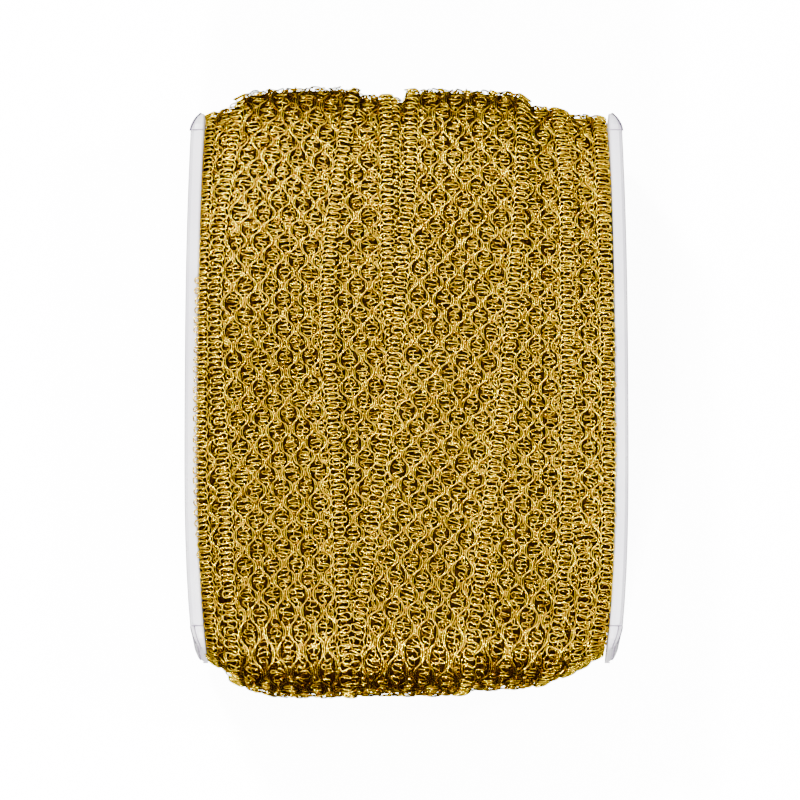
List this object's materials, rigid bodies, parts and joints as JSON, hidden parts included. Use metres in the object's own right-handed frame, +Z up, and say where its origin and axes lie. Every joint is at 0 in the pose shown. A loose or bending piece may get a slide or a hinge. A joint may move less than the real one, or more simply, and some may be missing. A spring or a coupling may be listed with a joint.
{
  "type": "braid trim on flat reel",
  "caption": "Openwork metallic mesh braid wound in overlapping turns between the two rounded end plates of a flat plastic reel, lying on its back.",
  "frame": {"origin": "middle of the winding's footprint, on the surface that it lies on", "axes": "+X from the left end plate to the right one, +Y along the winding towards its rounder end, +Z up from the surface"},
  "size_m": [0.1232, 0.1718, 0.0551],
  "materials": {
    "gold_braid": "bright metallic yarn, openwork mesh",
    "clear_plastic": "translucent, milky white"
  },
  "bodies": {
    "root": {"wound_braid": "gold_braid", "end_plate_left": "clear_plastic", "end_plate_right": "clear_plastic"}
  },
  "joints": []
}
